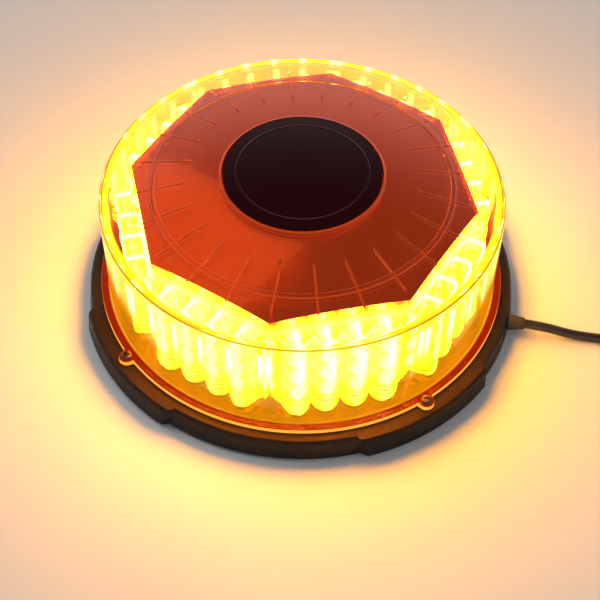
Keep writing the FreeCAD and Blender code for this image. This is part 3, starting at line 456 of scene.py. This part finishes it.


# ---- Optics ----
# One clear acrylic moulding on each flat: four barrel columns, waisted between their four
# rows, that gather the light of the chips behind them. Its glow is painted light: a painted
# white highlight before the chips, painted yellow light in the flanks, painted glints,
# painted shade at the waists and painted darker lines, like turned lines, round the foot.

COLUMN_PITCH = 0.0099
OPTIC_BOTTOM, OPTIC_TOP = 0.0092, 0.0450
ROW_PITCH = (OPTIC_TOP - OPTIC_BOTTOM) / 4
FACE_TURN = 2 * math.pi / FLATS
OPTIC_TINT, OPTIC_BODY = (0.98, 0.93, 0.80), (0.07, 0.018, 0.002)
# The glowing body's emission is painted light standing in for the chips' light in the acrylic.
PAINTED_GLOW_SHARE = 0.55                         # how much the glowing body hides of the clear one
OPTIC_PAINTED_GLOW_POWER = 52.0
LINE_PITCH = 0.0019                       # of the turned lines round the foot
PLASTIC_IOR = 1.49

optic = Finish("clear optic")


def across_face(finish, x, y):
    """Distance along a flat from its middle: r * sin(bearing from the flat's middle)."""
    bearing = finish.make("Math", {"operation": "ARCTAN2"}, {0: y, 1: x})
    return (x ** 2.0 + y ** 2.0) ** 0.5 * (bearing % FACE_TURN - FACE_TURN / 2).sine()


# across is 0 on a barrel's axis and 1 at its flank; up_row is 0 level with a chip and 1 at a waist
optic_x, optic_y, optic_z = optic.axes()
across = abs(across_face(optic, optic_x, optic_y) % COLUMN_PITCH / COLUMN_PITCH - 0.5) * 2.0
up_row = abs((optic_z - OPTIC_BOTTOM) % ROW_PITCH / ROW_PITCH - 0.5) * 2.0
upper_rows = optic.step(optic_z, OPTIC_BOTTOM + ROW_PITCH * 0.7, OPTIC_BOTTOM + ROW_PITCH * 1.7)
# Painted light: the white core and top face are painted highlights, the flank painted light, the glints
# painted glints, the waist shade painted shade, the arc lines painted darker lines.
painted_white_half = 0.50 - up_row ** 2.0 * 0.34
painted_white = optic.step(across - painted_white_half, 0.14, -0.14) * (upper_rows * 0.85 + 0.15)
flank = optic.step(across, 0.86, 1.0) * upper_rows
line_wave = (optic_z * (2 * math.pi / LINE_PITCH)).sine() * 0.5 + 0.5
painted_arc_lines = optic.step(line_wave, 0.45, 0.85) * (1.0 - upper_rows)
painted_glints = optic.step(across, 0.14, 0.02) * optic.step(line_wave, 0.4, 0.1)
top_face = optic.step(optic_z, OPTIC_TOP - 0.0015, OPTIC_TOP - 0.0005)
painted_waist_shade = (optic.step(up_row, 0.86, 1.0) * optic.step(across, 0.22, 0.45) * (1.0 - flank)
         * (1.0 - top_face))
# red, green and blue of the painted glow: painted lines and painted waist shade turn amber as
# green goes first, and blue whitens a place into a painted highlight
painted_glow = optic.make("CombineColor", {}, {
    0: (1.0 - painted_arc_lines * 0.97) * (1.0 - painted_waist_shade * 0.96),
    1: (1.0 - painted_arc_lines * 0.994) * (1.0 - painted_waist_shade * 0.975) * 0.85,
    2: ((painted_white * 0.65 + flank * 0.05 + upper_rows * 0.008 + painted_glints * 0.27
         + top_face * optic.step(across, 0.85, 0.65) * 0.022) * (1.0 - painted_waist_shade) + 0.0012)})
optic_glass = optic.shader(Base_Color=OPTIC_TINT, Roughness=0.04, IOR=PLASTIC_IOR,
                           Transmission_Weight=1.0, Normal=optic.bump(optic.noise(500.0, 1.0), 0.0002, 0.25))
optic_body = optic.shader(Base_Color=OPTIC_BODY, Roughness=0.12, Specular_IOR_Level=0.2,
                          Emission_Color=painted_glow, Emission_Strength=OPTIC_PAINTED_GLOW_POWER)
optic_lit = optic.mix((painted_arc_lines | painted_waist_shade) * (1.0 - PAINTED_GLOW_SHARE) + PAINTED_GLOW_SHARE, optic_glass, optic_body)
optic_open = optic.make("BsdfTransparent", {}, {"Color": colour(OPTIC_TINT)})
dress(optic.end(optic.mix(optic.make("LightPath", {}, {}, "Is Shadow Ray"), optic_lit, optic_open)),
      *["optic_panel_%d" % (k + 1) for k in range(FLATS)])


# ---- What the base holds ----
# The driver board and its parts: two sleeved capacitors, a wound choke, transistors and the
# pattern controller in black epoxy, and a nylon socket for the lead.

board = Finish("circuit board")
dress(board.end(board.shader(
    Base_Color=board.blend(board.noise(160.0), MASK_DARK, MASK_LIGHT), Roughness=0.35)),
    "driver_board", "switch_board")


def small_part(name, tone, gloss, *nodes, **more):
    """A moulded or lacquered small part: its colour with a fine mottle."""
    finish = Finish(name)
    mottle = finish.noise(500.0, 3.0)
    lighter = tuple(min(1.0, part * 1.25 + 0.004) for part in tone)
    dress(finish.end(finish.shader(
        Base_Color=finish.blend(mottle, tone, lighter), Roughness=mottle * 0.12 + gloss,
        Normal=finish.bump(mottle, 0.00004, 0.4), **more)), *nodes)


small_part("capacitor sleeve", (0.05, 0.05, 0.09), 0.25, "capacitors")
small_part("lacquered wire", (0.30, 0.13, 0.05), 0.25, "choke_coil")
small_part("epoxy", (0.03, 0.03, 0.03), 0.45, "transistors", "controller_chip", "switches")
small_part("socket nylon", (0.78, 0.76, 0.70), 0.40, "wire_socket")


# ---- Lens ----
# An injection-moulded amber polycarbonate drum, 2.2 mm thick, with a shallow domed top. A
# turned ridge and 24 short radial ribs stiffen the dome, a recess takes the centre disc, and
# the foot flange has four screw ears. Its glow is painted light: a painted glow where light
# piped in the plastic would show at its edges, painted reflections of the chips on the inside
# wall, and painted light lines on the ribs, ridge and disc seat.

LENS_RADIUS, LENS_WALL = 70.0, 2.2
LENS_EDGE, LENS_CROWN = 50.0, 10.3
FLANGE_RADIUS = 73.0
EAR_CIRCLE, EAR_RADIUS = 73.8, 2.8
DISC_SEAT, DISC_RIM, DISC_RECESS, DISC_RIM_PROUD = 27.3, 28.3, 0.8, 0.35
RIDGE_INNER, RIDGE_OUTER, RIDGE_PROUD = 50.7, 52.4, 0.30
RIBS, RIB_INNER, RIB_OUTER, RIB_PROUD = 24, 40.5, 58.0, 0.25
RIB_TURN = 2 * math.pi / RIBS
SPHERE = (LENS_RADIUS ** 2 + LENS_CROWN ** 2) / (2 * LENS_CROWN)
SPHERE_CENTRE = LENS_EDGE + LENS_CROWN - SPHERE
LENS_TINT, LENS_BODY = (0.94, 0.22, 0.045), (0.012, 0.002, 0.001)
LAMP_TINT = (0.64, 0.45, 0.07)            # what a ray of light keeps at each side of the plastic
PAINTED_LIGHT_POWER = 20.0

# Where the painted light and shade change, in metres from the axis or, with UP and DOWN, above
# the ground
RIM_FROM, FLANGE_FROM, OUTSIDE_FROM = (0.0708, 0.0716), (0.0702, 0.0706), (0.0686, 0.0694)
INSIDE_FROM, INSIDE_TO, INSIDE_UP = (0.0662, 0.0674), (0.0690, 0.0684), (0.016, 0.038)
EDGE_FROM, EDGE_UP, EDGE_LEAN = (0.0680, 0.0685), (0.0440, 0.0450), 0.55
SPOT_HALF, SPOT_UP, SPOT_DOWN = (0.19, 0.02), (0.026, 0.036), (0.0462, 0.0438)
RIB_HALF, RIB_FROM, RIB_TO = (0.00045, 0.00022), (0.0402, 0.0412), (0.0585, 0.0575)
RIDGE_MIDDLE, RIDGE_HALF, SEAT_RING = 0.05155, 0.00085, 0.0280


def dome_height(r, offset=0.0):
    """Height of a sphere parallel to the lens's outside: centre + sqrt(radius^2 - r^2)."""
    return SPHERE_CENTRE + np.sqrt((SPHERE + offset) ** 2 - r ** 2)


def smooth_step(value, low, high):
    """0 below low, 1 above high, 3t^2 - 2t^3 between."""
    t = np.clip((value - low) / (high - low), 0, 1)
    return t * t * (3 - 2 * t)


def hill(value, low, high, slope):
    """1 between low and high, falling to 0 over the slope outside."""
    return smooth_step(value, low - slope, low) * (1 - smooth_step(value, high, high + slope))


def arc(centre_r, centre_z, radius, start, stop, count):
    """Points of an arc in the (r, z) half plane, angles in degrees."""
    angle = np.radians(np.linspace(start, stop, count))
    return np.stack([centre_r + radius * np.cos(angle), centre_z + radius * np.sin(angle)], axis=1)


def lens_columns():
    """Columns round the lens, close together at each rib and ear.

    A column's angle is its rib's angle plus offset / r, plus a share of the gap to the next rib.
    """
    near = np.array([0.3, 0.45, 1.2, 1.9, 2.4, 2.75, 3.0, 3.4, 4.5])
    offsets = np.concatenate([-near[::-1], [0.0], near])
    shares = np.linspace(0, 1, 6)[1:-1]
    ribs = np.repeat(np.arange(RIBS), len(offsets) + len(shares))
    shift = np.tile(np.concatenate([offsets, np.full(len(shares), near[-1])]), RIBS)
    share = np.tile(np.concatenate([np.zeros(len(offsets)), shares]), RIBS)
    return ribs * RIB_TURN, shift, share


def lens_mesh():
    """The lens as one closed skin: out over the dome, down the wall, round the flange, up inside.

    Height on the dome is the sphere's plus a hill at the rim, ridge and ribs, less the recess;
    the flange's rim reaches out over each ear in a circle about its screw.
    """
    ribs_at, shift, share = lens_columns()
    top_r = np.concatenate([
        [0.02], np.linspace(4, 26.8, 7), [27.2, 27.3, 27.38, 27.55, 28.1, 28.3, 28.5],
        np.linspace(31, 40.2, 5), [40.5, 40.7], np.linspace(43, 50.3, 4),
        [50.55, 50.7, 50.9, 52.2, 52.4, 52.55], np.linspace(54, 57.8, 4), [58.0, 58.2],
        np.linspace(60, 68.2, 6)])
    outer_edge = dome_height(LENS_RADIUS - 1.5)
    fillet = arc(LENS_RADIUS - 1.5, outer_edge - 1.35, 1.5, 80, 0, 7)
    wall = np.array([[LENS_RADIUS, z] for z in np.linspace(46.5, 12.0, 9)])
    foot = np.array([[LENS_RADIUS, 11.5], [70.08, 11.15], [70.35, 11.0]])
    flange = np.array([[72.0, 11.0], [72.75, 11.0], [72.93, 10.93], [73.0, 10.75], [73.0, 9.4],
                       [72.9, 9.2], [72.0, 9.2], [68.2, 9.2], [67.8, 9.4]])
    inner_radius = LENS_RADIUS - LENS_WALL
    inner_edge = dome_height(inner_radius - 2, -LENS_WALL)
    inside = np.array([[inner_radius, z] for z in np.linspace(12, inner_edge - 2.6, 8)])
    inner_fillet = arc(inner_radius - 1.6, inner_edge - 1.75, 1.6, 0, 80, 6)
    under_r = np.linspace(64.5, 0.02, 22)
    under = np.stack([under_r, dome_height(under_r, -LENS_WALL)], axis=1)
    top = np.stack([top_r, dome_height(top_r)], axis=1)
    profile = np.concatenate([top, fillet, wall, foot, flange, inside, inner_fillet, under])
    r, z = profile[:, 0:1], profile[:, 1:2]
    on_top = (np.arange(len(profile)) < len(top))[:, None]
    near_r = np.maximum(r, 45.0)
    angle = ribs_at + shift / near_r + share * (RIB_TURN - 2 * shift / near_r)
    bands = (hill(r, DISC_SEAT + 0.2, DISC_RIM - 0.05, 0.12) * DISC_RIM_PROUD
             + hill(r, RIDGE_INNER + 0.1, RIDGE_OUTER - 0.1, 0.15) * RIDGE_PROUD)
    on_rib = (np.abs(shift) < 0.35) & (share == 0)
    ribs = hill(r, RIB_INNER + 0.1, RIB_OUTER - 0.1, 0.25) * on_rib * RIB_PROUD
    z = z + on_top * (np.maximum(bands, ribs) - (r <= DISC_SEAT) * DISC_RECESS)
    from_ear = np.mod(angle, math.pi / 2) - math.pi / 4
    side = EAR_CIRCLE * np.sin(from_ear)
    reach = EAR_CIRCLE * np.cos(from_ear) + np.sqrt(np.maximum(EAR_RADIUS ** 2 - side ** 2, 0))
    ear = np.where(np.abs(side) < EAR_RADIUS, np.maximum(reach - FLANGE_RADIUS, 0), 0)
    r = r + ear * smooth_step(r, 70.35, FLANGE_RADIUS) * (z < 11.2)
    return np.stack([r * np.cos(angle), r * np.sin(angle), z + 0 * angle], axis=-1) * MM


lens_piece = surface("lens_moulding", lens_mesh()[::-1])

lens = Finish("amber polycarbonate")
lens_x, lens_y, lens_z = lens.axes()
lens_r = (lens_x ** 2.0 + lens_y ** 2.0) ** 0.5
lens_bearing = lens.make("Math", {"operation": "ARCTAN2"}, {0: lens_y, 1: lens_x})
lean = lens.axes(lens.make("NewGeometry", {}, {}, "Normal"))[2]
off_rib = abs((lens_bearing + RIB_TURN / 2) % RIB_TURN - RIB_TURN / 2) * lens_r
off_column = abs(across_face(lens, lens_x, lens_y) % COLUMN_PITCH / COLUMN_PITCH - 0.5)
# Masks of painted light: painted glow on the rim, walls and moulded edge, painted reflections of the chips on
# the inside wall, and painted light lines on the ribs, ridge and disc seat.
rim = lens.step(lens_r, *RIM_FROM) * lens.step(abs(lean), 0.75, 0.35)
# On the flange top the clear plastic is hidden under the dark body: painted shade.
flange_top = lens.step(lens_r, *FLANGE_FROM) * (1.0 - rim)
outer_wall = lens.step(lens_r, *OUTSIDE_FROM) * (1.0 - rim) * (1.0 - flange_top)
inner_wall = (lens.step(lens_r, *INSIDE_FROM) * lens.step(lens_r, *INSIDE_TO)
              * lens.step(lens_z, *INSIDE_UP))
mould_edge = (lens.step(abs(lean - EDGE_LEAN), 0.28, 0.18) * lens.step(lens_r, *EDGE_FROM)
              * lens.step(lens_z, *EDGE_UP))
painted_reflections = (inner_wall * lens.step(off_column, *SPOT_HALF)
         * lens.step(lens_z, *SPOT_UP) * lens.step(lens_z, *SPOT_DOWN))
rib_line = (lens.step(off_rib, *RIB_HALF) * lens.step(lens_r, *RIB_FROM) * lens.step(lens_r, *RIB_TO))
ridge_line = lens.step(abs(abs(lens_r - RIDGE_MIDDLE) - RIDGE_HALF), 0.0003, 0.0001)
painted_fine_lines = (rib_line | ridge_line) * lens.step(lean, 0.2, 0.5)
painted_seat_ring = lens.step(abs(lens_r - SEAT_RING), 0.0006, 0.0003)

# For each place: the painted light's red, green and blue, and how much it hides of the clear
# plastic. The flange top's dark, nearly opaque entry is painted shade.
PAINTED_LIGHT = ((rim, 0.075, 0.031, 0.003, 0.75), (outer_wall, 0.065, 0.035, 0.0, 0.22),
         (inner_wall, 0.45, 0.275, 0.0, 0.24), (painted_reflections, 0.45, 0.45, 0.40, 0.50),
         (flange_top, 0.006, 0.0, 0.0, 0.93), (painted_seat_ring, 0.035, 0.0035, 0.0, 0.30),
         (painted_fine_lines, 0.045, 0.006, 0.0, 0.14))
PAINTED_LIGHT_ALL_OVER = (0.010, 0.0005, 0.0, 0.02)
PAINTED_EDGE_LIGHT = (0.036, 0.009, 0.0, 0.96)    # on the dome's moulded edge, in place of the rest


def painted_light_amount(part):
    """Each place's mask times its amount, added up, and the edge's own amount where the edge is."""
    total = sum((place[0] * place[1 + part] for place in PAINTED_LIGHT if place[1 + part]), PAINTED_LIGHT_ALL_OVER[part])
    return total * (1.0 - mould_edge) + mould_edge * PAINTED_EDGE_LIGHT[part]


painted_light_colour = lens.make("CombineColor", {}, {part: painted_light_amount(part) for part in range(3)})
lit_share = painted_light_amount(3)
lens_glass = lens.shader(Base_Color=LENS_TINT, Roughness=0.02, IOR=PLASTIC_IOR,
                         Transmission_Weight=1.0, Specular_IOR_Level=0.30,
                         Normal=lens.bump(lens.noise(40.0), 0.0004, 0.12))
lens_lit = lens.shader(Base_Color=LENS_BODY, Roughness=0.1, Specular_IOR_Level=0.12,
                       Emission_Color=painted_light_colour, Emission_Strength=PAINTED_LIGHT_POWER)
lens_open = lens.make("BsdfTransparent", {}, {"Color": colour(LAMP_TINT)})
for_light = (lens.make("LightPath", {}, {}, "Is Shadow Ray")
             | lens.make("LightPath", {}, {}, "Is Diffuse Ray"))
lens_piece.data.materials.append(lens.end(
    lens.mix(for_light, lens.mix(lit_share, lens_glass, lens_lit), lens_open)))
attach(lens_piece, "beacon")
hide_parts("lens")


# ---- Centre disc ----
# A gloss black disc, pressed into the dome's recess, its black tinted dark red as a painted
# cast of the beacon's amber light. Its face is plain, with one fine turned ring.

DISC_RING = 0.0226
# Both blacks carry a painted red cast of the amber light.
DISC_PAINTED_RED_BLACK, DISC_RING_PAINTED_RED_BLACK = (0.030, 0.002, 0.003), (0.060, 0.005, 0.006)

disc = Finish("disc black")
disc_x, disc_y = disc.axes()[:2]
disc_ring = disc.step(abs((disc_x ** 2.0 + disc_y ** 2.0) ** 0.5 - DISC_RING), 0.0006, 0.0002)
dress(disc.end(disc.shader(
    Base_Color=disc.blend(disc_ring * 0.6, DISC_PAINTED_RED_BLACK, DISC_RING_PAINTED_RED_BLACK),
    Roughness=disc.noise(120.0, 3.0) * 0.08 + 0.10, Specular_IOR_Level=0.16,
    Normal=disc.bump(disc_ring, 0.0002, 0.6))), "centre_disc")


# ---- Screws ----
# Cold-headed pan screws with a pressed cross recess. Those in the cover's ears and under the
# base are blackened; those inside are zinc plated.

HEAD_RADIUS, HEAD_HEIGHT, SHANK_RADIUS = 1.9, 1.3, 1.0
CROSS_HALF, CROSS_REACH, CROSS_DEPTH = 0.24, 1.05, 0.65


def pan_screw(length):
    """Pan-head screw on its own axis, head up, its seat at height 0.

    The profile is turned about the axis; inside the cross, where the smaller of |x| and |y| is
    under its half width and the larger under its reach, the top sinks by the cross's depth.
    """
    inner = np.linspace(0.02, 1.25, 12)
    crown = HEAD_HEIGHT - 0.10 * (inner / 1.25) ** 2
    side = np.array([[1.45, 1.14], [1.66, 0.98], [1.82, 0.74], [HEAD_RADIUS, 0.45], [HEAD_RADIUS, 0.0],
                     [SHANK_RADIUS, 0.0], [SHANK_RADIUS, -length + 0.8], [0.02, -length]])
    profile = np.concatenate([np.stack([inner, crown], axis=1), side])
    angle = np.linspace(0, 2 * math.pi, 48, endpoint=False)
    x, y = profile[:, 0:1] * np.cos(angle), profile[:, 0:1] * np.sin(angle)
    narrow, wide = np.minimum(np.abs(x), np.abs(y)), np.maximum(np.abs(x), np.abs(y))
    sink = ((1 - smooth_step(narrow, CROSS_HALF - 0.06, CROSS_HALF + 0.06))
            * (1 - smooth_step(wide, CROSS_REACH - 0.25, CROSS_REACH)))
    z = profile[:, 1:2] - sink * CROSS_DEPTH * (profile[:, 1:2] > 0.9)
    return np.stack([x, y, z], axis=-1)[::-1] * MM


def screw_finish(name, tone, gloss):
    finish = Finish(name)
    return finish.end(finish.shader(Base_Color=tone, Metallic=0.9,
                                    Roughness=finish.noise(1500.0) * 0.2 + gloss))


black_zinc = screw_finish("blackened steel", (0.07, 0.065, 0.065), 0.26)
zinc = screw_finish("plated steel", (0.55, 0.55, 0.56), 0.22)
dress(zinc, "frame_screws", "driver_screws", "plug_screws")

ear_low, ear_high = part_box("lens_screws")
ear_screw = pan_screw((ear_high[2] - ear_low[2]) / MM - HEAD_HEIGHT)
ear_turns = np.radians([45, 135, 225, 315])
ear_spots = np.stack([EAR_CIRCLE * MM * np.cos(ear_turns), EAR_CIRCLE * MM * np.sin(ear_turns),
                      np.full(4, ear_high[2] - HEAD_HEIGHT * MM)], axis=-1)
lens_screws = surface("cover_screws", ear_screw[None] + ear_spots[:, None, None])
lens_screws.data.materials.append(black_zinc)
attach(lens_screws, "beacon")
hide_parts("lens_screws")
dress(black_zinc, "bottom_screws")


# ---- Plug ----
# An accessory plug in two grained black nylon halves with a screwed nose ring. Its sprung tip
# and side clips are nickel plated. Two keys and a pilot light sit on its flat.

plug_plastic = Finish("plug plastic")
plug_fine = plug_plastic.noise(2200.0)
dress(plug_plastic.end(plug_plastic.shader(
    Base_Color=plug_plastic.blend(plug_plastic.step(plug_plastic.noise(80.0, 3.0), 0.5, 0.75) * 0.5,
                                  (0.020, 0.019, 0.020), (0.036, 0.034, 0.033)),
    Roughness=plug_fine * 0.2 + 0.34,
    Normal=plug_plastic.bump(plug_fine, 0.00006))),
    "plug_shell_upper", "plug_shell_lower", "plug_nose_ring")
small_part("tie nylon", (0.03, 0.03, 0.03), 0.35, "coil_ties")
small_part("red key", (0.55, 0.03, 0.02), 0.25, "power_button")
small_part("grey key", (0.20, 0.20, 0.21), 0.30, "mode_button")
small_part("pilot lamp", (0.70, 0.08, 0.04), 0.08, "pilot_light",
           Emission_Color=(1.0, 0.10, 0.03), Emission_Strength=1.5)
small_part("fuse glass", (0.80, 0.82, 0.82), 0.10, "fuse", Coat_Weight=0.6)
